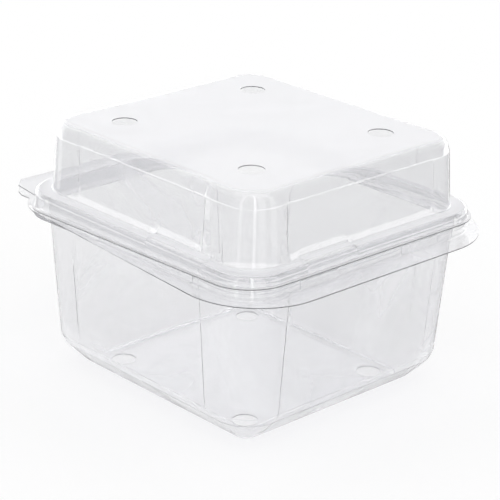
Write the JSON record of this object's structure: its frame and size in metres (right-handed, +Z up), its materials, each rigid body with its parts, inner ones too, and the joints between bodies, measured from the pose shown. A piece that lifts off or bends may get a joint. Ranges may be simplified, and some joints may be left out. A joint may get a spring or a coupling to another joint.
{
  "type": "clear plastic clamshell pack",
  "caption": "Clear hinged food pack: a bevelled square tray with a flanged rim and a domed lid, vented top and bottom, folded from one thin sheet.",
  "frame": {"origin": "middle of the flat floor the tray stands on", "axes": "+Z up, -Y towards the opening side, +Y towards the fold, X along the fold"},
  "size_m": [0.143, 0.1628, 0.1045],
  "materials": {
    "clear_sheet": "clear glossy PET sheet"
  },
  "bodies": {
    "tray": {"base_tray": "clear_sheet"},
    "lid": {"lid": "clear_sheet"}
  },
  "joints": [
    {"name": "lid_fold", "type": "hinge", "parent": "tray", "child": "lid", "pos_m": [0, 0.086, 0.06945], "axis": [-1, 0, 0], "range_deg": [0, 180]}
  ]
}
